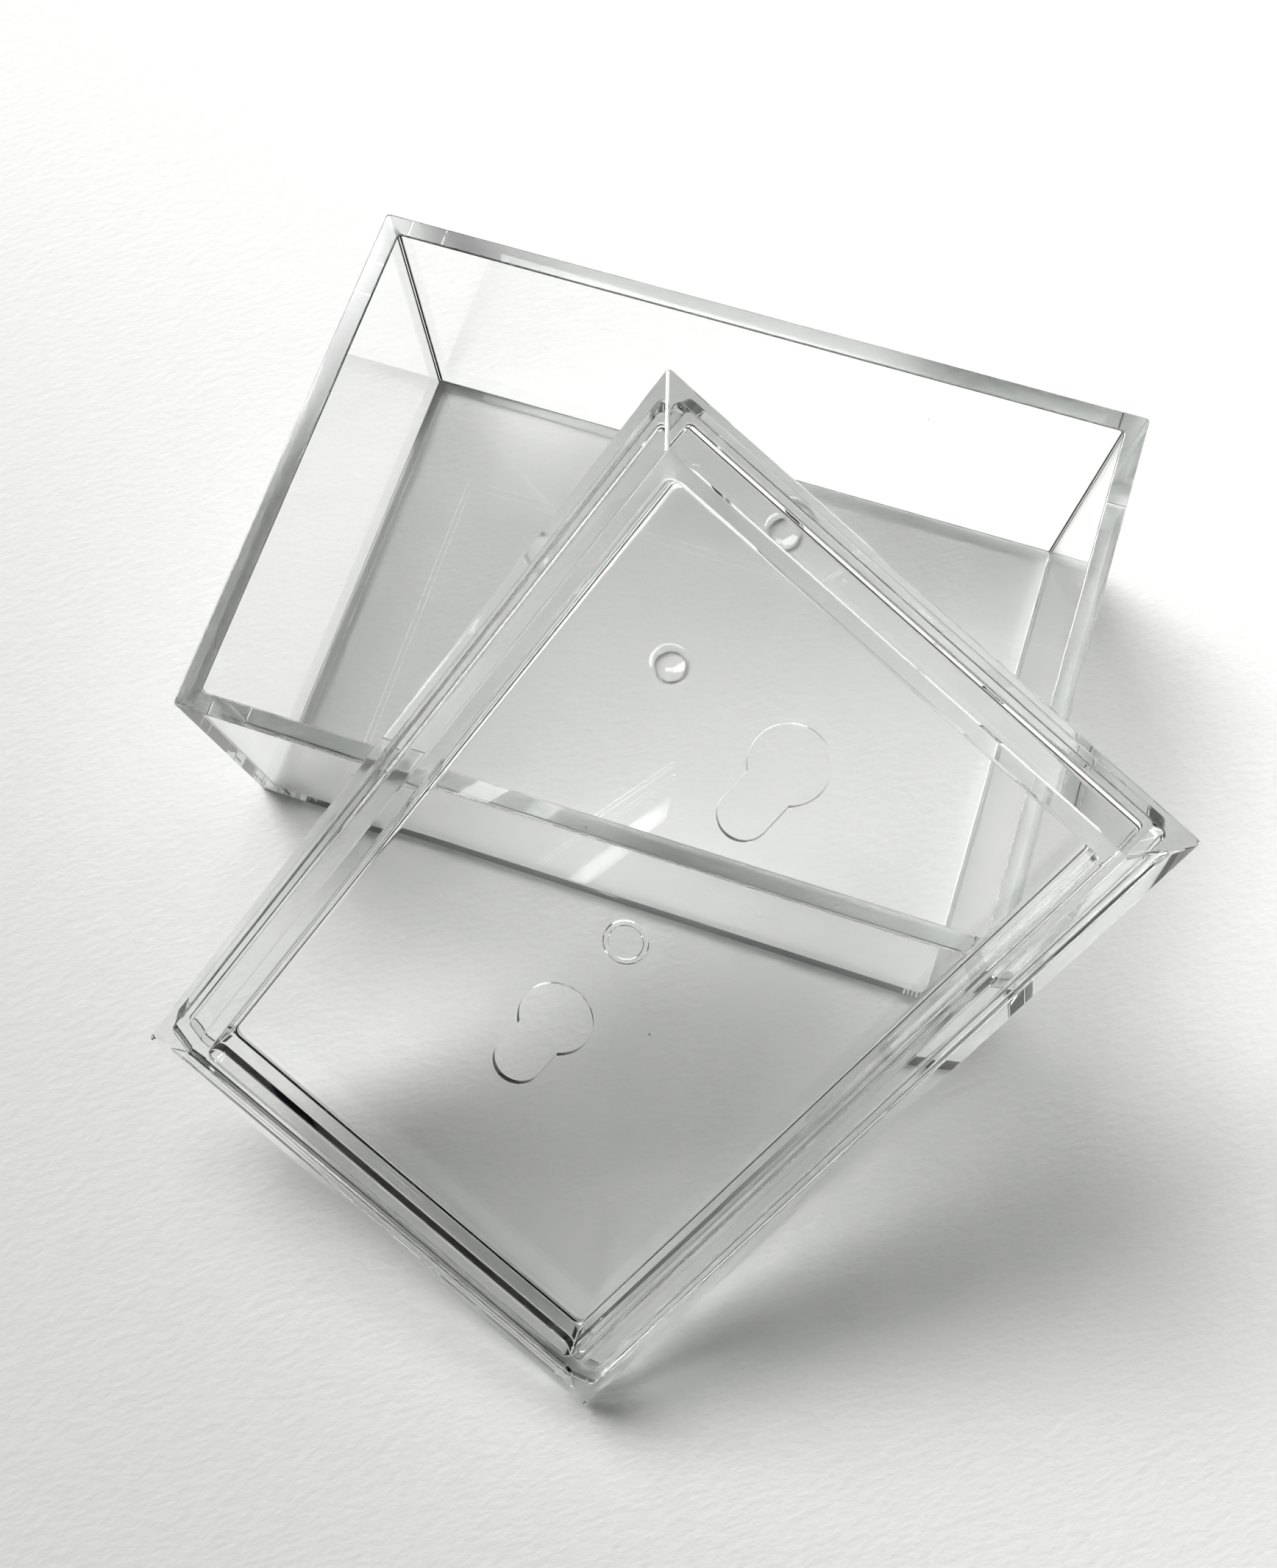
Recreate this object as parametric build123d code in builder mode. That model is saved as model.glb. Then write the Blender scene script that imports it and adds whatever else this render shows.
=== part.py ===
from build123d import *

import math
import os

os.makedirs("parts", exist_ok=True)

# Clear moulded storage box and its lift-off lid, in millimetres.
# The box stands open on a table. The lid is off and outer side up: the underside of its
# plug lies on the front rim of the box, and its low corner lies on the table.
# +X runs along the long side of the box, -Y faces the lid, +Z is up.
# The origin is the centre of the base of the box.

# Box: walls, floor and the edges left by the mould
box_length = 100.0
box_width = 70.8
box_height = 34.0
wall_thickness = 2.6
floor_thickness = 2.3
wall_draft = 0.25
box_corner_radius = 0.5
cavity_corner_radius = 0.6
cavity_foot_radius = 0.3
rim_edge_radius = 0.2

# Box: the gate mark under the middle of the floor, a shallow dish round a domed stub
box_gate_radius = 3.4
box_gate_depth = 0.35
box_stub_radius = 2.3
box_stub_height = 0.3

# Lid: flange edge, bevelled frame, flat land and sunk panel, from outside to inside
flange_edge = 2.0
bevel_run = 5.4
bevel_rise = 4.5
land_width = 1.75
well_depth = 6.7
well_draft = 0.6
panel_thickness = 1.0
lid_corner_radius = 0.35
land_edge_radius = 0.3
well_corner_radius = 1.2
well_mouth_radius = 0.35
well_foot_radius = 0.5

# Lid: the plug that drops inside the walls of the box
plug_clearance = 0.1
plug_depth = 3.4
plug_chamfer = 1.0
plug_land = 0.9
plug_corner_radius = 0.8
plug_hollow_radius = 0.6
plug_root_radius = 0.5

# Lid: one small friction rib in the middle of each side of the plug
rib_length = 4.6
rib_height = 1.0
rib_proud = 0.07
rib_drop = 0.7

# Lid: two keyholes on the long centre line, for hanging it on screw heads
keyhole_spacing = 40.8
keyhole_reach = 7.35
head_radius = 4.5
slot_width = 5.9

# Lid: the gate mark in the middle of the panel's inner face, a ring round a low disc
lid_gate_radius = 2.7
lid_gate_depth = 0.15
lid_disc_radius = 2.0
lid_disc_height = 0.1

# Lid: how it leans. The tilt is about X and the turn is in its own plane.
lid_tilt = 31.7
lid_turn = 65.2
lid_side_shift = 9.5
rest_gap = 0.15

# How far a cut runs past the face that it starts from
overrun = 1.0

# Sizes that follow from the ones above
cavity_length = box_length - 2 * wall_thickness
cavity_width = box_width - 2 * wall_thickness
cavity_depth = box_height - floor_thickness
lid_length = box_length
lid_width = box_width
plug_inset = wall_thickness + plug_clearance
plug_length = lid_length - 2 * plug_inset
plug_width = lid_width - 2 * plug_inset
plug_bottom = flange_edge + plug_depth
hollow_inset = plug_inset + plug_chamfer + plug_land
well_inset = bevel_run + land_width
panel_face = well_depth - bevel_rise
panel_back = panel_face + panel_thickness
hollow_depth = plug_bottom - panel_back

# The lean, worked out so that the plug lies on the rim and the low corner on the table
tilt_sine = math.sin(math.radians(lid_tilt))
tilt_cosine = math.cos(math.radians(lid_tilt))
turn_sine = math.sin(math.radians(lid_turn))
turn_cosine = math.cos(math.radians(lid_turn))
rise_along = tilt_sine * turn_sine
rise_across = tilt_sine * turn_cosine
flange_corner_drop = (
    rise_along * lid_length / 2
    + rise_across * lid_width / 2
    + tilt_cosine * flange_edge
)
plug_corner_drop = (
    rise_along * (plug_length / 2 - plug_chamfer - plug_corner_radius)
    + rise_across * (plug_width / 2 - plug_chamfer - plug_corner_radius)
    + tilt_sine * plug_corner_radius
    + tilt_cosine * plug_bottom
)
lid_centre_height = max(flange_corner_drop, plug_corner_drop)
rim_below_lid = plug_bottom + rest_gap
height_to_rim = tilt_cosine * (box_height - lid_centre_height)
lid_centre_back = -box_width / 2 - (rim_below_lid + height_to_rim) / tilt_sine
lid_plane = Plane(
    origin=(lid_side_shift, lid_centre_back, lid_centre_height),
    x_dir=(turn_cosine, turn_sine * tilt_cosine, turn_sine * tilt_sine),
    z_dir=(0, -tilt_sine, tilt_cosine),
)
lid_axis = Axis(lid_plane.origin, lid_plane.z_dir)


def faces_outwards(face):
    return face.normal_at().dot(lid_plane.z_dir) > 0


# Box: drafted walls and floor, with a rounded rim and the gate mark below
rim_plane = Plane.XY.offset(box_height)
with BuildPart() as box:
    with BuildSketch(rim_plane):
        RectangleRounded(box_length, box_width, box_corner_radius)
    extrude(amount=-box_height, taper=wall_draft)
    with BuildSketch(rim_plane):
        RectangleRounded(cavity_length, cavity_width, cavity_corner_radius)
    extrude(amount=-cavity_depth, taper=wall_draft, mode=Mode.SUBTRACT)

    cavity_floor = box.faces().filter_by(Axis.Z).sort_by(Axis.Z)[1]
    fillet(cavity_floor.outer_wire().edges(), radius=cavity_foot_radius)
    rim = box.faces().sort_by(Axis.Z)[-1]
    fillet(rim.edges(), radius=rim_edge_radius)

    with BuildSketch(Plane.XZ) as gate_dish:
        with BuildLine():
            Polyline((box_gate_radius, 0), (0, 0), (0, box_gate_depth - box_stub_height))
            ThreePointArc(
                (0, box_gate_depth - box_stub_height),
                (box_stub_radius / 2, box_gate_depth - box_stub_height * 3 / 4),
                (box_stub_radius, box_gate_depth),
            )
            Line((box_stub_radius, box_gate_depth), (box_gate_radius, 0))
        make_face()
    revolve(axis=Axis.Z, mode=Mode.SUBTRACT)

box.part.label = "box"
export_step(box.part, "parts/box.step")


# Lid: flange, bevelled frame with a sunk panel, plug, keyholes and gate mark
with BuildPart() as lid:
    with BuildSketch(lid_plane.offset(-flange_edge)):
        RectangleRounded(lid_length, lid_width, lid_corner_radius)
    extrude(amount=flange_edge)

    with BuildSketch(lid_plane):
        RectangleRounded(lid_length, lid_width, lid_corner_radius)
    with BuildSketch(lid_plane.offset(bevel_rise)):
        RectangleRounded(lid_length - 2 * bevel_run, lid_width - 2 * bevel_run, lid_corner_radius)
    loft(ruled=True)

    with BuildSketch(lid_plane.offset(-flange_edge)):
        RectangleRounded(plug_length, plug_width, plug_corner_radius)
    extrude(amount=plug_chamfer - plug_depth)

    with BuildSketch(lid_plane.offset(plug_chamfer - plug_bottom)):
        RectangleRounded(plug_length, plug_width, plug_corner_radius)
    with BuildSketch(lid_plane.offset(-plug_bottom)):
        RectangleRounded(
            plug_length - 2 * plug_chamfer,
            plug_width - 2 * plug_chamfer,
            plug_corner_radius,
        )
    loft(ruled=True)

    with BuildSketch(lid_plane.offset(-plug_bottom)):
        RectangleRounded(
            lid_length - 2 * hollow_inset,
            lid_width - 2 * hollow_inset,
            plug_hollow_radius,
        )
    extrude(amount=hollow_depth, mode=Mode.SUBTRACT)
    hollow_roof = lid.faces().filter_by(lid_plane).sort_by(lid_axis)[1]
    fillet(hollow_roof.outer_wire().edges(), radius=plug_root_radius)

    with BuildSketch(lid_plane.offset(bevel_rise)):
        RectangleRounded(
            lid_length - 2 * well_inset,
            lid_width - 2 * well_inset,
            well_corner_radius,
        )
    extrude(amount=-well_depth, taper=well_draft, mode=Mode.SUBTRACT)

    land = lid.faces().sort_by(lid_axis)[-1]
    fillet(land.outer_wire().edges(), radius=land_edge_radius)
    land = lid.faces().sort_by(lid_axis)[-1]
    fillet(land.inner_wires()[0].edges(), radius=well_mouth_radius)
    panel = lid.faces().filter_by(lid_plane).filter_by(faces_outwards).sort_by(lid_axis)[-2]
    fillet(panel.outer_wire().edges(), radius=well_foot_radius)

    with BuildSketch(lid_plane.offset(-flange_edge - rib_drop)):
        with GridLocations(0, plug_width, 1, 2):
            Rectangle(rib_length, 2 * rib_proud)
        with GridLocations(plug_length, 0, 2, 1):
            Rectangle(2 * rib_proud, rib_length)
    extrude(amount=-rib_height)

    with BuildSketch(lid_plane.offset(-panel_back - overrun)):
        with GridLocations(keyhole_spacing, 0, 2, 1):
            SlotCenterPoint((keyhole_reach / 2, 0), (0, 0), slot_width)
        with Locations((keyhole_reach, 0)):
            with GridLocations(keyhole_spacing, 0, 2, 1):
                Circle(head_radius)
    extrude(amount=panel_thickness + 2 * overrun, mode=Mode.SUBTRACT)

    with BuildSketch(lid_plane.offset(-panel_back)):
        Circle(lid_gate_radius)
    extrude(amount=lid_gate_depth, mode=Mode.SUBTRACT)
    with BuildSketch(lid_plane.offset(lid_gate_depth - panel_back)):
        Circle(lid_disc_radius)
    extrude(amount=-lid_disc_height)

lid.part.label = "lid"
export_step(lid.part, "parts/lid.step")
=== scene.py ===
import logging
import math
from dataclasses import dataclass
from enum import Enum

import bmesh
import bpy
from mathutils import Matrix, Vector


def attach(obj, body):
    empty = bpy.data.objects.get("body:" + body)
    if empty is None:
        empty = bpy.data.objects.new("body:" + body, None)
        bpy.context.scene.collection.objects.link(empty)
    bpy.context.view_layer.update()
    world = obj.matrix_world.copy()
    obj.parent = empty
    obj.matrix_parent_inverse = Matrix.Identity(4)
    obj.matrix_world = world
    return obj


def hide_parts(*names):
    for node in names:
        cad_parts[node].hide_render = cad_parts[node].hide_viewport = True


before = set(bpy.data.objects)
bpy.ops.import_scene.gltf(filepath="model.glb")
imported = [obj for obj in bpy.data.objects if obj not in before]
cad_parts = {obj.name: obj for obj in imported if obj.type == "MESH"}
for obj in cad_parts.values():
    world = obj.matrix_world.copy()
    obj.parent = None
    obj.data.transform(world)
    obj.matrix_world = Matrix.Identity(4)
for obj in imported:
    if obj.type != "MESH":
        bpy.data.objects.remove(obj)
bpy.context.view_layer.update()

log = logging.getLogger("clear_box")

# Sizes are written in millimetres and turned to metres by this factor
MM = 0.001

# The middle of a noise texture's range, and the stretch that leaves a texture as it is
MIDDLE = 0.5
EVEN = (1.0, 1.0, 1.0)

# Points closer than this are one, and edges that turn by more than this are sharp
SAME_PLACE = 0.0001 * MM
SHARP_TURN = math.radians(24.0)

# The points of one closed loop of a mesh
Loop = list[bmesh.types.BMVert]


class Body(Enum):
    """The two bodies that pieces ride on."""

    BOX = "box"
    LID = "lid"


class Socket:
    """One output of a shader node, on which maths can be written as on a number."""

    def __init__(self, graph: "Graph", output: bpy.types.NodeSocket) -> None:
        """Keeps the graph that the output belongs to."""
        self.graph = graph
        self.output = output

    def __add__(self, other: "Socket | float") -> "Socket":
        """Adds a number or another output."""
        return self.graph.maths("ADD", self, other)

    __radd__ = __add__

    def __mul__(self, other: "Socket | float") -> "Socket":
        """Multiplies by a number or another output."""
        return self.graph.maths("MULTIPLY", self, other)

    __rmul__ = __mul__

    def __sub__(self, other: "Socket | float") -> "Socket":
        """Takes a number or another output away."""
        return self.graph.maths("SUBTRACT", self, other)

    def __rsub__(self, other: "Socket | float") -> "Socket":
        """Takes this output away from a number."""
        return self.graph.maths("SUBTRACT", other, self)

    def below(self, limit: "Socket | float") -> "Socket":
        """Gives 1 where this output is under the limit and 0 elsewhere."""
        return self.graph.maths("LESS_THAN", self, limit)

    def ramp(self, low: float, high: float, start: float = 0.0, end: float = 1.0) -> "Socket":
        """Maps this output smoothly from one range onto another.

        Args:
            low: The value that gives start.
            high: The value that gives end.
            start: The result at and before low.
            end: The result at and past high.

        Returns:
            The mapped value.
        """
        mapped = self.graph.node(
            "ShaderNodeMapRange",
            {"interpolation_type": "SMOOTHSTEP"},
            {"Value": self, "From Min": low, "From Max": high, "To Min": start, "To Max": end},
        )
        return self.graph.out(mapped, "Result")


class Graph:
    """Builds the nodes of one material or world."""

    def __init__(self, tree: bpy.types.NodeTree) -> None:
        """Empties the tree and keeps it."""
        self.tree = tree
        tree.nodes.clear()

    def node(
        self, kind: str, settings: dict | None = None, inputs: dict | None = None
    ) -> bpy.types.Node:
        """Makes one node.

        Args:
            kind: The node's type.
            settings: Its properties, set before its inputs.
            inputs: A value or a Socket for each input, by name or number.

        Returns:
            The new node.
        """
        made = self.tree.nodes.new(kind)
        for name, value in (settings or {}).items():
            setattr(made, name, value)
        for name, value in (inputs or {}).items():
            target = made.inputs[name]
            if isinstance(value, Socket):
                self.tree.links.new(value.output, target)
            else:
                target.default_value = value
        return made

    def out(self, made: bpy.types.Node, name: str | int = 0) -> Socket:
        """Wraps one output of a node."""
        return Socket(self, made.outputs[name])

    def maths(self, operation: str, first: Socket | float, second: Socket | float) -> Socket:
        """Makes one Math node from two numbers or outputs."""
        return self.out(self.node("ShaderNodeMath", {"operation": operation}, {0: first, 1: second}))

    def place(self, turn: tuple[float, float, float], stretch: tuple[float, float, float]) -> Socket:
        """Gives object coordinates, turned and stretched.

        Args:
            turn: Euler angles in radians.
            stretch: The scale along each turned axis.

        Returns:
            The coordinates as a vector.
        """
        coords = self.out(self.node("ShaderNodeTexCoord"), "Object")
        turned = self.node(
            "ShaderNodeMapping",
            {"vector_type": "TEXTURE"},
            {"Vector": coords, "Rotation": turn},
        )
        scaled = self.node(
            "ShaderNodeVectorMath",
            {"operation": "MULTIPLY"},
            {0: self.out(turned), 1: stretch},
        )
        return self.out(scaled)

    def noise(self, vector: Socket, scale: float, detail: float = 2.0) -> Socket:
        """Gives a smooth noise value between 0 and 1."""
        made = self.node("ShaderNodeTexNoise", {}, {"Vector": vector, "Scale": scale, "Detail": detail})
        return self.out(made, "Fac")


@dataclass(frozen=True)
class ClearPlastic:
    """Clear moulded plastic with a slow ripple, fine scratches and specks.

    Args:
        name: The material's name.
        turn: Euler angles of the plane that carries the scratches.
        index: The index of refraction.
        loss: The light lost on the way through, per metre, in red, green and blue.
        loss_scale: The density that the loss is written against.
        ripple_scale: How many waves the ripple has in a metre.
        ripple_height: The height of the ripple.
        scratch_turns: The directions of the scratches.
        scratch_rate: The scale of the noise that draws the first direction's scratches.
        scratch_spread: What each further direction adds to it, as a share.
        scratch_stretch: The scale along a scratch against that across it, so small is long.
        scratch_width: How far from its middle the noise still draws a scratch.
        scratch_haze: The roughness on a scratch.
        patch_rate: The scale of the noise that draws the patches with scratches.
        patch_spread: What each further direction adds to it.
        patch_stretch: The scale along the scratches against that across them.
        patch_edge: The values of the noise at which a patch starts and is full.
        speck_rate: The scale of the cells that may each hold a speck.
        speck_size: The radius of a speck as a share of a cell.
        speck_share: The share of the cells that hold a speck.
        speck_cover: How much of the plastic a speck hides.
        speck_grey: The colour of a speck.
    """

    name: str
    turn: tuple[float, float, float] = (0.0, 0.0, 0.0)
    index: float = 1.55
    loss: tuple[float, float, float] = (5.2, 4.7, 4.9)
    loss_scale: float = 100.0
    ripple_scale: float = 55.0
    ripple_height: float = 0.006 * MM
    scratch_turns: tuple[float, ...] = (0.35, 1.25, 2.3)
    scratch_rate: float = 260.0
    scratch_spread: float = 0.3
    scratch_stretch: float = 0.06
    scratch_width: float = 0.006
    scratch_haze: float = 0.25
    patch_rate: float = 110.0
    patch_spread: float = 25.0
    patch_stretch: float = 0.5
    patch_edge: tuple[float, float] = (0.71, 0.75)
    speck_rate: float = 130.0
    speck_size: float = 0.022
    speck_share: float = 0.3
    speck_cover: float = 0.7
    speck_grey: tuple[float, float, float, float] = (0.55, 0.55, 0.55, 1.0)

    def scratches(self, graph: Graph) -> Socket:
        """Draws short fine lines in several directions.

        Args:
            graph: The graph that gets the nodes.

        Returns:
            1 on a scratch and 0 elsewhere.
        """
        lines: Socket | float = 0.0
        for step, angle in enumerate(self.scratch_turns):
            turn = (self.turn[0], self.turn[1], self.turn[2] + angle)
            rate = self.scratch_rate * (1.0 + self.scratch_spread * step)
            along = graph.noise(graph.place(turn, (self.scratch_stretch, 1.0, 1.0)), rate, 0.0)
            thin = graph.maths("ABSOLUTE", along - MIDDLE, 0.0).below(self.scratch_width)
            spread = graph.place(turn, (self.patch_stretch, 1.0, 1.0))
            patch = graph.noise(spread, self.patch_rate + self.patch_spread * step)
            lines = thin * patch.ramp(*self.patch_edge) + lines
        return lines

    def specks(self, graph: Graph) -> Socket:
        """Draws small round specks, most of them left out.

        Args:
            graph: The graph that gets the nodes.

        Returns:
            1 in a speck and 0 elsewhere.
        """
        spots = graph.place(self.turn, EVEN)
        cells = graph.node("ShaderNodeTexVoronoi", {}, {"Vector": spots, "Scale": self.speck_rate})
        dots = graph.out(cells, "Distance").below(self.speck_size)
        chance = graph.node("ShaderNodeSeparateColor", {}, {"Color": graph.out(cells, "Color")})
        return dots * graph.out(chance, 0).below(self.speck_share)

    def build(self) -> bpy.types.Material:
        """Makes the material.

        Returns:
            The material, ready for a mesh.
        """
        material = bpy.data.materials.new(self.name)
        material.use_nodes = True
        graph = Graph(material.node_tree)
        ripple = graph.noise(graph.place(self.turn, EVEN), self.ripple_scale, 1.0)
        marks = self.scratches(graph)
        bump = graph.node(
            "ShaderNodeBump",
            {},
            {"Strength": 1.0, "Distance": self.ripple_height, "Height": ripple},
        )
        plastic = graph.node(
            "ShaderNodeBsdfPrincipled",
            {},
            {
                "Base Color": (1.0, 1.0, 1.0, 1.0),
                "Roughness": marks * self.scratch_haze,
                "Transmission Weight": 1.0,
                "IOR": self.index,
                "Normal": graph.out(bump),
            },
        )
        dust = graph.node("ShaderNodeBsdfDiffuse", {}, {"Color": self.speck_grey})
        dusty = graph.node(
            "ShaderNodeMixShader",
            {},
            {0: self.specks(graph) * self.speck_cover, 1: graph.out(plastic), 2: graph.out(dust)},
        )
        kept = [1.0 - share / self.loss_scale for share in self.loss]
        inside = graph.node(
            "ShaderNodeVolumeAbsorption",
            {},
            {"Color": (*kept, 1.0), "Density": self.loss_scale},
        )
        graph.node(
            "ShaderNodeOutputMaterial",
            {},
            {"Surface": graph.out(dusty), "Volume": graph.out(inside)},
        )
        return material


@dataclass(frozen=True)
class PaperTop:
    """A pale matt sheet with a faint mottle and a fine grain, on a dark desk. Its colour runs from
    darker to pale along one direction. That run is painted light and shade, standing in for the fall of
    the light across the table.

    Args:
        name: The material's name.
        pale: The colour at the lighter end of the sheet, where the painted light is strongest.
        shaded_grey: The colour at the darker end, which is painted shade.
        light_fall_turn: The direction in which the painted light on the sheet gets stronger.
        light_fall_start: Where the painted light starts to rise, measured that way from the origin.
        light_fall_end: Where it stops.
        mottle_share: How much the mottle moves the colour.
        mottle_rate: The mottle's scale.
        mottle_lift: The mottle's share in the relief, against the grain's.
        fibre_turn: The direction in which the grain runs.
        fibre_stretch: The scale along the grain against that across it.
        fibre_rate: The grain's scale.
        fibre_height: The height of the relief.
        haze: The roughness.
        sheet_reach: The distance from the origin at which the sheet starts to fade.
        sheet_fade: The distance at which only the desk is left.
        desk: The colour of the desk.
    """

    name: str = "pale_table"
    pale: tuple[float, float, float, float] = (0.945, 0.95, 0.93, 1.0)
    shaded_grey: tuple[float, float, float, float] = (0.54, 0.545, 0.53, 1.0)
    light_fall_turn: float = math.radians(67.0)
    light_fall_start: float = -150.0 * MM
    light_fall_end: float = 130.0 * MM
    mottle_share: float = 0.08
    mottle_rate: float = 260.0
    mottle_lift: float = 0.5
    fibre_turn: float = math.radians(36.0)
    fibre_stretch: float = 0.5
    fibre_rate: float = 1100.0
    fibre_height: float = 0.08 * MM
    haze: float = 0.8
    sheet_reach: float = 170.0 * MM
    sheet_fade: float = 300.0 * MM
    desk: tuple[float, float, float, float] = (0.03, 0.03, 0.03, 1.0)

    def build(self) -> bpy.types.Material:
        """Makes the material.

        Returns:
            The material, ready for a mesh.
        """
        material = bpy.data.materials.new(self.name)
        material.use_nodes = True
        graph = Graph(material.node_tree)
        flat = graph.place((0.0, 0.0, 0.0), EVEN)
        mottle = graph.noise(flat, self.mottle_rate, 4.0)
        grain = graph.place((0.0, 0.0, self.fibre_turn), (self.fibre_stretch, 1.0, 1.0))
        fibre = graph.noise(grain, self.fibre_rate, 3.0)
        # Painted light and shade: the sheet's colour is darker at one end and pale at the other,
        # standing in for the light's fall across the table
        light_fall_coords = graph.place((0.0, 0.0, self.light_fall_turn), EVEN)
        light_fall_parts = graph.node("ShaderNodeSeparateXYZ", {}, {"Vector": light_fall_coords})
        painted_light_fall = graph.out(light_fall_parts, "X").ramp(self.light_fall_start, self.light_fall_end)
        colour = graph.node(
            "ShaderNodeMix",
            {"data_type": "RGBA"},
            {"Factor": painted_light_fall + (mottle - MIDDLE) * self.mottle_share, "A": self.shaded_grey, "B": self.pale},
        )
        away = graph.out(graph.node("ShaderNodeVectorMath", {"operation": "LENGTH"}, {0: flat}), "Value")
        sheet = graph.node(
            "ShaderNodeMix",
            {"data_type": "RGBA"},
            {
                "Factor": away.ramp(self.sheet_reach, self.sheet_fade),
                "A": graph.out(colour, "Result"),
                "B": self.desk,
            },
        )
        relief = mottle * self.mottle_lift + fibre
        bump = graph.node(
            "ShaderNodeBump",
            {},
            {"Strength": 1.0, "Distance": self.fibre_height, "Height": relief},
        )
        paper = graph.node(
            "ShaderNodeBsdfPrincipled",
            {},
            {
                "Base Color": graph.out(sheet, "Result"),
                "Roughness": self.haze,
                "Normal": graph.out(bump),
            },
        )
        graph.node("ShaderNodeOutputMaterial", {}, {"Surface": graph.out(paper)})
        return material


@dataclass(frozen=True)
class Knot:
    """One corner of a wall's section.

    Args:
        inset: The distance in from the outline.
        height: The height above the piece's own plane.
        corner: The radius of the outline's corners here.
        edge: The rounding of the section's own corner.
    """

    inset: float
    height: float
    corner: float
    edge: float = 0.0


def rounded_section(knots: list[Knot], steps: int) -> list[Knot]:
    """Rounds the corners of a section by arcs.

    Args:
        knots: The section's corners in order.
        steps: The number of straight steps in each arc.

    Returns:
        The section with each rounded corner replaced by points on its arc.
    """
    section = [knots[0]]
    for before, here, after in zip(knots, knots[1:], knots[2:]):
        if here.edge <= 0.0:
            section.append(here)
            continue
        point = Vector((here.inset, here.height))
        back = (Vector((before.inset, before.height)) - point).normalized()
        ahead = (Vector((after.inset, after.height)) - point).normalized()
        half = back.angle(ahead) / 2
        reach = here.edge / math.tan(half)
        centre = point + (back + ahead).normalized() * (here.edge / math.sin(half))
        first = point + back * reach - centre
        sweep = first.angle_signed(point + ahead * reach - centre)
        for step in range(steps + 1):
            arm = first.copy()
            arm.rotate(Matrix.Rotation(-sweep * step / steps, 2))
            spot = centre + arm
            section.append(Knot(spot.x, spot.y, here.corner))
    section.append(knots[-1])
    return section


def rounded_outline(length: float, width: float, radius: float, steps: int) -> list[Vector]:
    """Gives the points of a rounded rectangle, anticlockwise from above.

    Args:
        length: The size along X.
        width: The size along Y.
        radius: The corner radius.
        steps: The number of straight steps in each corner.

    Returns:
        The points, in the plane of height zero.
    """
    points = []
    for quarter, (side_x, side_y) in enumerate(((1, 1), (-1, 1), (-1, -1), (1, -1))):
        centre = Vector((side_x * (length / 2 - radius), side_y * (width / 2 - radius), 0.0))
        for step in range(steps + 1):
            angle = (quarter + step / steps) * math.pi / 2
            points.append(centre + radius * Vector((math.cos(angle), math.sin(angle), 0.0)))
    return points


def circle_outline(radius: float, steps: int) -> list[Vector]:
    """Gives the points of a circle, anticlockwise from above."""
    turns = [2 * math.pi * step / steps for step in range(steps)]
    return [Vector((radius * math.cos(turn), radius * math.sin(turn), 0.0)) for turn in turns]


class Shell:
    """A mesh that is built from closed loops of points."""

    def __init__(self) -> None:
        """Starts an empty mesh."""
        self.mesh = bmesh.new()

    def loop(self, points: list[Vector], height: float = 0.0) -> Loop:
        """Adds one closed loop of points at a height."""
        lift = Vector((0.0, 0.0, height))
        return [self.mesh.verts.new(point + lift) for point in points]

    def bridge(self, first: Loop, second: Loop) -> None:
        """Joins two loops of equal length by a band of faces.

        Args:
            first: The loop at one side of the band.
            second: The loop at the other side.
        """
        count = len(first)
        for here in range(count):
            ahead = (here + 1) % count
            self.mesh.faces.new((first[here], first[ahead], second[ahead], second[here]))

    def cap(self, loop: Loop) -> None:
        """Closes one loop by a single flat face."""
        self.mesh.faces.new(loop)

    def plate(self, loops: list[Loop]) -> None:
        """Fills the flat space between an outer loop and the loops inside it.

        Args:
            loops: The loops, all in one plane.
        """
        edges = []
        for loop in loops:
            for here, vert in enumerate(loop):
                ahead = loop[(here + 1) % len(loop)]
                edges.append(self.mesh.edges.get((vert, ahead)) or self.mesh.edges.new((vert, ahead)))
        bmesh.ops.triangle_fill(self.mesh, use_beauty=True, use_dissolve=False, edges=edges)

    def wall(self, length: float, width: float, section: list[Knot], steps: int) -> list[Loop]:
        """Sweeps a section round a rounded rectangle.

        Args:
            length: The outline's size along X.
            width: The outline's size along Y.
            section: The section's points from one end to the other.
            steps: The number of straight steps in each corner.

        Returns:
            The loops in the order of the section.
        """
        loops = []
        for knot in section:
            inner_length, inner_width = length - 2 * knot.inset, width - 2 * knot.inset
            outline = rounded_outline(inner_length, inner_width, knot.corner, steps)
            loops.append(self.loop(outline, knot.height))
        for first, second in zip(loops, loops[1:]):
            self.bridge(first, second)
        return loops

    def finish(self, name: str, place: Matrix, material: bpy.types.Material) -> bpy.types.Object:
        """Turns the loops into an object with smooth curves and crisp edges.

        Args:
            name: The object's name.
            place: Where the mesh goes in the frame.
            material: Its material.

        Returns:
            The object, at the origin, with its place in its mesh.
        """
        bmesh.ops.remove_doubles(self.mesh, verts=self.mesh.verts, dist=SAME_PLACE)
        bmesh.ops.recalc_face_normals(self.mesh, faces=self.mesh.faces)
        bmesh.ops.transform(self.mesh, matrix=place, verts=self.mesh.verts)
        data = bpy.data.meshes.new(name)
        self.mesh.to_mesh(data)
        self.mesh.free()
        data.polygons.foreach_set("use_smooth", [True] * len(data.polygons))
        data.set_sharp_from_angle(angle=SHARP_TURN)
        data.materials.append(material)
        made = bpy.data.objects.new(name, data)
        bpy.context.scene.collection.objects.link(made)
        return made


def even_normals(piece: bpy.types.Object) -> None:
    """Keeps flat faces flat beside rounded edges.

    Args:
        piece: The object that gets the modifier.
    """
    even = piece.modifiers.new("flat_faces", "WEIGHTED_NORMAL")
    even.keep_sharp = True
    even.weight = 100


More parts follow.
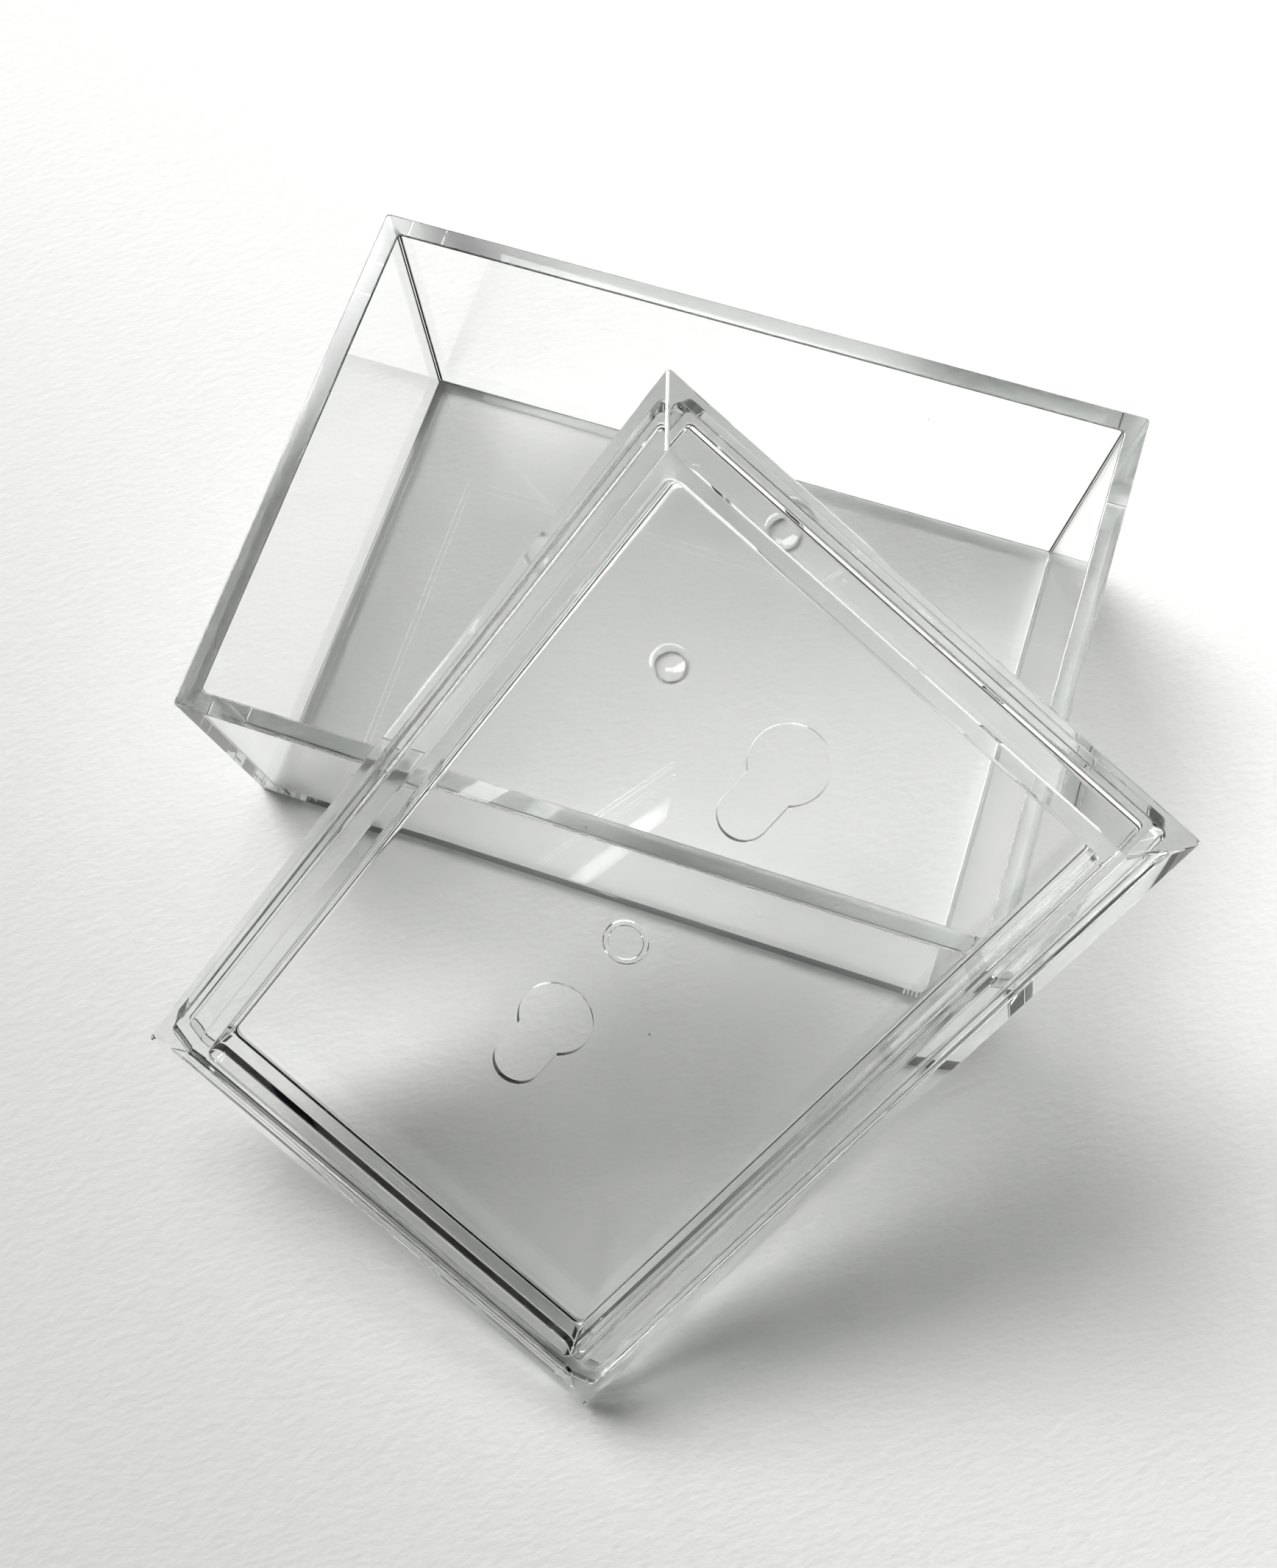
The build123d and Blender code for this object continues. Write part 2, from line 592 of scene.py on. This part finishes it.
def declare(piece: bpy.types.Object, body: Body) -> None:
    """Hangs a piece on the body that carries it and hides the model's own part for that body.

    Args:
        piece: The finished piece.
        body: The body that carries it.
    """
    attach(piece, body.value)
    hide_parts(body.value)
    log.info("%s: %d faces", piece.name, len(piece.data.polygons))


@dataclass
class StorageBox:
    """The open box: drafted walls, a flat floor and the gate mark under it."""

    length: float = 100.0 * MM
    width: float = 70.8 * MM
    height: float = 34.0 * MM
    wall: float = 2.6 * MM
    floor: float = 2.3 * MM
    draft: float = math.radians(0.25)
    outer_corner: float = 0.5 * MM
    cavity_corner: float = 0.6 * MM
    rim_edge: float = 0.2 * MM
    foot_edge: float = 0.15 * MM
    cavity_foot: float = 0.3 * MM
    gate_radius: float = 3.4 * MM
    gate_depth: float = 0.35 * MM
    stub_radius: float = 2.3 * MM
    stub_height: float = 0.3 * MM
    edge_steps: int = 6
    corner_steps: int = 6
    round_steps: int = 64

    def section(self) -> list[Knot]:
        """Gives the wall's section from under the floor, over the rim, to the floor's top.

        Returns:
            The section's points, with its edges rounded.
        """
        lean = math.tan(self.draft)
        foot = self.height * lean
        cavity = self.wall + (self.height - self.floor) * lean
        margin = self.wall
        return rounded_section(
            [
                Knot(foot + margin, 0.0, self.outer_corner),
                Knot(foot, 0.0, self.outer_corner, self.foot_edge),
                Knot(0.0, self.height, self.outer_corner, self.rim_edge),
                Knot(self.wall, self.height, self.cavity_corner, self.rim_edge),
                Knot(cavity, self.floor, self.cavity_corner, self.cavity_foot),
                Knot(cavity + margin, self.floor, self.cavity_corner),
            ],
            self.edge_steps,
        )

    def gate(self, shell: Shell) -> Loop:
        """Adds the dished gate mark.

        Args:
            shell: The mesh that gets it.

        Returns:
            Its outer loop.
        """
        rim = shell.loop(circle_outline(self.gate_radius, self.round_steps))
        last = shell.loop(circle_outline(self.stub_radius, self.round_steps), self.gate_depth)
        shell.bridge(rim, last)
        rings = self.edge_steps
        for ring in range(1, rings):
            share = 1 - ring / rings
            drop = self.stub_height * (1 - share * share)
            ring_outline = circle_outline(self.stub_radius * share, self.round_steps)
            inner = shell.loop(ring_outline, self.gate_depth - drop)
            shell.bridge(last, inner)
            last = inner
        shell.cap(last)
        return rim

    def build(self, material: bpy.types.Material) -> bpy.types.Object:
        """Makes the box.

        Args:
            material: The clear plastic.

        Returns:
            The finished piece.
        """
        shell = Shell()
        loops = shell.wall(self.length, self.width, self.section(), self.corner_steps)
        shell.cap(loops[-1])
        shell.plate([loops[0], self.gate(shell)])
        piece = shell.finish("box_shell", Matrix.Identity(4), material)
        even_normals(piece)
        declare(piece, Body.BOX)
        return piece


@dataclass(frozen=True)
class Keyhole:
    """A round head with a slot beside it, cut through the lid's panel."""

    place: float
    reach: float = 7.35 * MM
    head: float = 4.5 * MM
    slot: float = 5.9 * MM
    head_steps: int = 56
    end_steps: int = 24

    def outline(self, grow: float) -> list[Vector]:
        """Gives the keyhole's points.

        Args:
            grow: The distance by which the outline is grown outwards.

        Returns:
            The points, anticlockwise from above.
        """
        head = self.head + grow
        half = self.slot / 2 + grow
        neck = math.pi - math.asin(half / head)
        points = []
        for step in range(self.head_steps + 1):
            turn = -neck + 2 * neck * step / self.head_steps
            across = self.place + self.reach + head * math.cos(turn)
            points.append(Vector((across, head * math.sin(turn), 0.0)))
        for step in range(self.end_steps + 1):
            turn = math.pi / 2 + math.pi * step / self.end_steps
            points.append(Vector((self.place + half * math.cos(turn), half * math.sin(turn), 0.0)))
        return points


@dataclass
class PlugLid:
    """The lid, leaning on the box: flange, bevelled frame, sunk panel and plug."""

    box: StorageBox
    flange_edge: float = 2.0 * MM
    bevel_run: float = 5.4 * MM
    bevel_rise: float = 4.5 * MM
    land_width: float = 1.75 * MM
    well_depth: float = 6.7 * MM
    well_draft: float = math.radians(0.6)
    panel: float = 1.0 * MM
    clearance: float = 0.1 * MM
    plug_depth: float = 3.4 * MM
    plug_chamfer: float = 1.0 * MM
    plug_land: float = 0.9 * MM
    lid_corner: float = 0.35 * MM
    plug_corner: float = 0.8 * MM
    hollow_corner: float = 0.6 * MM
    hollow_root: float = 0.5 * MM
    well_corner: float = 1.2 * MM
    crisp_edge: float = 0.3 * MM
    land_edge: float = 0.15 * MM
    mouth_edge: float = 0.2 * MM
    foot_edge: float = 0.5 * MM
    keyhole_spacing: float = 40.8 * MM
    keyhole_edge: float = 0.12 * MM
    gate_radius: float = 2.7 * MM
    gate_depth: float = 0.15 * MM
    disc_radius: float = 2.0 * MM
    disc_height: float = 0.1 * MM
    tilt: float = math.radians(31.7)
    turn: float = math.radians(65.2)
    side_shift: float = 9.5 * MM
    rest_gap: float = 0.15 * MM
    edge_steps: int = 6
    corner_steps: int = 8
    round_steps: int = 64

    @property
    def plug_inset(self) -> float:
        """The plug's distance in from the lid's outline."""
        return self.box.wall + self.clearance

    @property
    def plug_bottom(self) -> float:
        """The depth of the plug's underside below the bevel's foot."""
        return self.flange_edge + self.plug_depth

    def place(self) -> Matrix:
        """Gives where the lid leans: plug on the rim, low corner on the table.

        Returns:
            The lid's place in the frame.
        """
        down, level = math.sin(self.tilt), math.cos(self.tilt)
        across, along = math.cos(self.turn), math.sin(self.turn)
        rise_x, rise_y = down * along, down * across
        flange_drop = (rise_x * self.box.length + rise_y * self.box.width) / 2 + level * self.flange_edge
        plug_in = self.plug_inset + self.plug_chamfer + self.plug_corner
        plug_drop = (
            rise_x * (self.box.length / 2 - plug_in)
            + rise_y * (self.box.width / 2 - plug_in)
            + down * self.plug_corner
            + level * self.plug_bottom
        )
        rise = max(flange_drop, plug_drop)
        rim = self.plug_bottom + self.rest_gap + level * (self.box.height - rise)
        back = -self.box.width / 2 - rim / down
        x_axis = Vector((across, along * level, along * down))
        z_axis = Vector((0.0, -down, level))
        y_axis = z_axis.cross(x_axis)
        place = Matrix((x_axis, y_axis, z_axis)).transposed().to_4x4()
        place.translation = Vector((self.side_shift, back, rise))
        return place

    def section(self) -> list[Knot]:
        """Gives the frame's section from the panel's back, round the flange, to its face.

        Returns:
            The section's points, with its edges rounded.
        """
        plug = self.plug_inset
        hollow = plug + self.plug_chamfer + self.plug_land
        face = self.well_depth - self.bevel_rise
        back = face + self.panel
        well = self.bevel_run + self.land_width
        foot = well + self.well_depth * math.tan(self.well_draft)
        margin = self.box.wall
        return rounded_section(
            [
                Knot(hollow + margin, -back, self.hollow_corner),
                Knot(hollow, -back, self.hollow_corner, self.hollow_root),
                Knot(hollow, -self.plug_bottom, self.hollow_corner, self.crisp_edge),
                Knot(plug + self.plug_chamfer, -self.plug_bottom, self.plug_corner, self.crisp_edge),
                Knot(plug, self.plug_chamfer - self.plug_bottom, self.plug_corner, self.crisp_edge),
                Knot(plug, -self.flange_edge, self.plug_corner, self.crisp_edge),
                Knot(0.0, -self.flange_edge, self.lid_corner, self.crisp_edge),
                Knot(0.0, 0.0, self.lid_corner, self.crisp_edge),
                Knot(self.bevel_run, self.bevel_rise, self.lid_corner, self.land_edge),
                Knot(well, self.bevel_rise, self.well_corner, self.mouth_edge),
                Knot(foot, -face, self.well_corner, self.foot_edge),
                Knot(foot + margin, -face, self.well_corner),
            ],
            self.edge_steps,
        )

    def cut_keyhole(self, shell: Shell, hole: Keyhole) -> tuple[Loop, Loop]:
        """Adds one keyhole's walls.

        Args:
            shell: The mesh that gets them.
            hole: The keyhole.

        Returns:
            Its loops on the panel's face and on its back.
        """
        face = self.well_depth - self.bevel_rise
        back = face + self.panel
        edge = self.keyhole_edge
        steps = self.edge_steps
        rounding = [math.pi / 2 * step / steps for step in range(steps + 1)]
        upper = [(edge * (1 - math.sin(turn)), -face - edge * (1 - math.cos(turn))) for turn in rounding]
        lower = [(grow, -back - face - height) for grow, height in reversed(upper)]
        loops = [shell.loop(hole.outline(grow), height) for grow, height in upper + lower]
        for first, second in zip(loops, loops[1:]):
            shell.bridge(first, second)
        return loops[0], loops[-1]

    def gate(self, shell: Shell) -> Loop:
        """Adds the gate mark on the panel's back.

        Args:
            shell: The mesh that gets it.

        Returns:
            Its outer loop.
        """
        back = self.well_depth - self.bevel_rise + self.panel
        sunk = self.gate_depth - back
        rings = (
            (self.gate_radius, -back),
            (self.gate_radius - self.gate_depth, sunk),
            (self.disc_radius + self.disc_height, sunk),
            (self.disc_radius, sunk - self.disc_height),
        )
        loops = [shell.loop(circle_outline(size, self.round_steps), height) for size, height in rings]
        for first, second in zip(loops, loops[1:]):
            shell.bridge(first, second)
        shell.cap(loops[-1])
        return loops[0]

    def build(self, material: bpy.types.Material) -> bpy.types.Object:
        """Makes the lid.

        Args:
            material: The clear plastic.

        Returns:
            The finished piece.
        """
        shell = Shell()
        loops = shell.wall(self.box.length, self.box.width, self.section(), self.corner_steps)
        holes = [Keyhole(side * self.keyhole_spacing / 2) for side in (-1, 1)]
        cuts = [self.cut_keyhole(shell, hole) for hole in holes]
        shell.plate([loops[-1]] + [face for face, _ in cuts])
        shell.plate([loops[0], self.gate(shell)] + [back for _, back in cuts])
        piece = shell.finish("lid_shell", self.place(), material)
        even_normals(piece)
        declare(piece, Body.LID)
        return piece


class Repeater:
    """Builds one node group that makes copies of a shape, and turns it into a mesh."""

    def __init__(self, name: str) -> None:
        """Starts a group with an output for the copies.

        Args:
            name: The group's name.
        """
        self.tree = bpy.data.node_groups.new(name, "GeometryNodeTree")
        self.tree.interface.new_socket("Geometry", in_out="OUTPUT", socket_type="NodeSocketGeometry")
        self.source = self.tree.nodes.new("NodeGroupInput")
        self.values: dict[str, float | bpy.types.Material] = {}

    def value(self, name: str, kind: str, value: float | bpy.types.Material) -> bpy.types.NodeSocket:
        """Adds a named input.

        Args:
            name: The input's name.
            kind: The input's socket type.
            value: What it is set to on the modifier.

        Returns:
            The input's socket inside the group.
        """
        made = self.tree.interface.new_socket(name, in_out="INPUT", socket_type=kind)
        self.values[made.identifier] = value
        return self.source.outputs[name]

    def node(
        self, kind: str, settings: dict | None = None, inputs: dict | None = None
    ) -> bpy.types.NodeSocket:
        """Makes one node.

        Args:
            kind: The node's type.
            settings: Its properties, set before its inputs.
            inputs: A value or a socket for each input, by name or number.

        Returns:
            The node's first output.
        """
        made = self.tree.nodes.new(kind)
        for name, value in (settings or {}).items():
            setattr(made, name, value)
        for name, value in (inputs or {}).items():
            if isinstance(value, bpy.types.NodeSocket):
                self.tree.links.new(value, made.inputs[name])
            else:
                made.inputs[name].default_value = value
        return made.outputs[0]

    def bake(
        self, name: str, copies: bpy.types.NodeSocket, material: bpy.types.NodeSocket
    ) -> bpy.types.Mesh:
        """Realises the copies, sets their material and gives the finished mesh.

        Args:
            name: The mesh's name.
            copies: The instances.
            material: The material's socket.

        Returns:
            A plain mesh.
        """
        whole = self.node("GeometryNodeRealizeInstances", {}, {"Geometry": copies})
        dressed = self.node("GeometryNodeSetMaterial", {}, {"Geometry": whole, "Material": material})
        last = self.tree.nodes.new("NodeGroupOutput")
        self.tree.links.new(dressed, last.inputs["Geometry"])
        holder = bpy.data.objects.new(name, bpy.data.meshes.new(name))
        bpy.context.scene.collection.objects.link(holder)
        spread = holder.modifiers.new(name, "NODES")
        spread.node_group = self.tree
        for identifier, value in self.values.items():
            spread[identifier] = value
        view = bpy.context.evaluated_depsgraph_get()
        mesh = bpy.data.meshes.new_from_object(holder.evaluated_get(view), depsgraph=view)
        bpy.data.objects.remove(holder)
        kept = mesh.materials[-1]
        mesh.materials.clear()
        mesh.materials.append(kept)
        mesh.polygons.foreach_set("material_index", [0] * len(mesh.polygons))
        return mesh


@dataclass
class FrictionRibs:
    """The four small raised marks, one in the middle of each side of the lid's plug."""

    lid: PlugLid
    length: float = 4.6 * MM
    height: float = 1.0 * MM
    proud: float = 0.07 * MM
    drop: float = 0.7 * MM
    seat: float = 0.004 * MM
    sides: int = 4

    def build(self, material: bpy.types.Material) -> bpy.types.Object:
        """Makes the ribs.

        Args:
            material: The clear plastic.

        Returns:
            The finished piece.
        """
        lid = self.lid
        depth = self.proud - self.seat
        reach = (self.proud + self.seat) / 2
        ribs = Repeater("friction_ribs")
        length = ribs.value("Rib Length", "NodeSocketFloat", self.length)
        height = ribs.value("Rib Height", "NodeSocketFloat", self.height)
        thick = ribs.value("Rib Depth", "NodeSocketFloat", depth)
        out = reach - lid.plug_inset
        half_x = ribs.value("Half Length", "NodeSocketFloat", lid.box.length / 2 + out)
        half_y = ribs.value("Half Width", "NodeSocketFloat", lid.box.width / 2 + out)
        middle = -lid.flange_edge - self.drop - self.height / 2
        level = ribs.value("Level", "NodeSocketFloat", middle)
        coat = ribs.value("Material", "NodeSocketMaterial", material)
        ring = ribs.node("GeometryNodeMeshCircle", {}, {"Vertices": self.sides, "Radius": 1.0})
        stretch = ribs.node("ShaderNodeCombineXYZ", {}, {"X": half_x, "Y": half_y, "Z": 1.0})
        spot = ribs.node("GeometryNodeInputPosition")
        spread = ribs.node("ShaderNodeVectorMath", {"operation": "MULTIPLY"}, {0: spot, 1: stretch})
        lift = ribs.node("ShaderNodeCombineXYZ", {}, {"Z": level})
        moved = {"Geometry": ring, "Position": spread, "Offset": lift}
        points = ribs.node("GeometryNodeSetPosition", {}, moved)
        size = ribs.node("ShaderNodeCombineXYZ", {}, {"X": thick, "Y": length, "Z": height})
        block = ribs.node("GeometryNodeMeshCube", {}, {"Size": size})
        index = ribs.node("GeometryNodeInputIndex")
        quarter = 2 * math.pi / self.sides
        angle = ribs.node("ShaderNodeMath", {"operation": "MULTIPLY"}, {0: index, 1: quarter})
        turn = ribs.node("ShaderNodeCombineXYZ", {}, {"Z": angle})
        set_out = {"Points": points, "Instance": block, "Rotation": turn}
        copies = ribs.node("GeometryNodeInstanceOnPoints", {}, set_out)
        mesh = ribs.bake("friction_ribs", copies, coat)
        mesh.transform(lid.place())
        piece = bpy.data.objects.new("friction_ribs", mesh)
        bpy.context.scene.collection.objects.link(piece)
        declare(piece, Body.LID)
        return piece


@dataclass(frozen=True)
class Glow:
    """One bright part of the surroundings, with soft edges. Its angles are in degrees.

    Args:
        azimuth: Its direction round the object from +X.
        elevation: Its height above the table.
        half_width: Half of its width, round the object.
        half_height: Half of its height.
        strength: Its brightness.
        edge: The width of its soft edge.
    """

    azimuth: float
    elevation: float
    half_width: float
    half_height: float
    strength: float
    edge: float = 6.0

    def light(self, graph: Graph, looking: Socket) -> Socket:
        """Gives the glow's brightness in a direction.

        Args:
            graph: The graph that gets the nodes.
            looking: The direction as a vector.

        Returns:
            The brightness, which is 0 away from the glow.
        """
        turned = graph.node(
            "ShaderNodeVectorRotate",
            {"rotation_type": "Z_AXIS"},
            {"Vector": looking, "Angle": -math.radians(self.azimuth)},
        )
        parts = graph.node("ShaderNodeSeparateXYZ", {}, {"Vector": graph.out(turned)})
        aside = graph.maths("ARCTAN2", graph.out(parts, "Y"), graph.out(parts, "X"))
        above = graph.maths("ARCSINE", graph.out(parts, "Z"), 0.0) - math.radians(self.elevation)
        across = self.fade(graph.maths("ABSOLUTE", aside, 0.0), self.half_width)
        upward = self.fade(graph.maths("ABSOLUTE", above, 0.0), self.half_height)
        return across * upward * self.strength

    def fade(self, away: Socket, half: float) -> Socket:
        """Falls from 1 to 0 over the soft edge."""
        near, far = half - self.edge / 2, half + self.edge / 2
        return away.ramp(math.radians(near), math.radians(far), 1.0, 0.0)


@dataclass
class Studio:
    """Table and surroundings, with a soft window behind the object."""

    table_size: float = 3.0
    table_drop: float = 0.1 * MM
    strength: float = 1.12
    glows: tuple[Glow, ...] = (
        Glow(143.0, 43.0, 19.0, 10.0, 19.0, 9.0),
        Glow(158.0, 30.0, 17.0, 4.5, 10.5, 7.0),
        Glow(106.0, 50.0, 15.0, 8.0, 6.5, 8.0),
        Glow(169.0, 41.0, 8.0, 8.0, 7.0, 8.0),
        Glow(280.0, 42.0, 30.0, 9.0, 0.8, 14.0),
    )

    def table(self) -> None:
        """Lays the pale table top under the object."""
        half = self.table_size / 2
        data = bpy.data.meshes.new("table_top")
        corners = [(-half, -half), (half, -half), (half, half), (-half, half)]
        data.from_pydata([(x, y, -self.table_drop) for x, y in corners], [], [(0, 1, 2, 3)])
        data.materials.append(PaperTop().build())
        made = bpy.data.objects.new("table_top", data)
        bpy.context.scene.collection.objects.link(made)

    def surroundings(self) -> None:
        """Lights the scene by the glows."""
        world = bpy.data.worlds.new("room")
        world.use_nodes = True
        bpy.context.scene.world = world
        graph = Graph(world.node_tree)
        looking = graph.out(graph.node("ShaderNodeTexCoord"), "Generated")
        light: Socket | float = 0.0
        for glow in self.glows:
            light = glow.light(graph, looking) + light
        sky = graph.node(
            "ShaderNodeBackground",
            {},
            {"Color": (1.0, 1.0, 1.0, 1.0), "Strength": light * self.strength},
        )
        graph.node("ShaderNodeOutputWorld", {}, {"Surface": graph.out(sky)})

    def build(self) -> None:
        """Makes the table and the surroundings."""
        self.table()
        self.surroundings()


@dataclass
class PhotoCamera:
    """The camera that took the photograph, as fitted to the box's corners."""

    place: tuple[float, float, float] = (22.42 * MM, -68.85 * MM, 179.13 * MM)
    angles: tuple[float, float, float] = (14.061, 1.677, 18.453)
    image_width: float = 1736.0
    image_height: float = 2131.0
    focus: float = 1798.7
    centre_x: float = 856.1
    centre_y: float = 1157.2
    film: float = 36.0

    def build(self) -> bpy.types.Object:
        """Makes the camera and sets it as the scene's own.

        Returns:
            The camera.
        """
        data = bpy.data.cameras.new("photo_camera")
        data.sensor_fit = "HORIZONTAL"
        data.sensor_width = self.film
        data.lens = self.focus * self.film / self.image_width
        data.shift_x = (self.image_width / 2 - self.centre_x) / self.image_width
        data.shift_y = (self.centre_y - self.image_height / 2) / self.image_width
        data.clip_start = 1.0 * MM
        made = bpy.data.objects.new("photo_camera", data)
        made.location = self.place
        made.rotation_euler = [math.radians(angle) for angle in self.angles]
        bpy.context.scene.collection.objects.link(made)
        bpy.context.scene.camera = made
        return made


def set_light_paths() -> None:
    """Lets light pass through many clear walls and smooths the last noise."""
    cycles = bpy.context.scene.cycles
    cycles.max_bounces = 28
    cycles.transmission_bounces = 24
    cycles.glossy_bounces = 12
    cycles.blur_glossy = 0.0
    cycles.use_denoising = True
    bpy.context.scene.view_settings.view_transform = "Standard"


def main() -> None:
    """Builds the box, the lid, the studio and the camera."""
    logging.basicConfig(level=logging.INFO)
    box = StorageBox()
    lid = PlugLid(box)
    lid_turn = tuple(lid.place().to_euler())
    box.build(ClearPlastic("clear_box_plastic").build())
    lid_plastic = ClearPlastic("clear_lid_plastic", turn=lid_turn).build()
    lid.build(lid_plastic)
    FrictionRibs(lid).build(lid_plastic)
    Studio().build()
    PhotoCamera().build()
    set_light_paths()


if __name__ == "__main__":
    main()
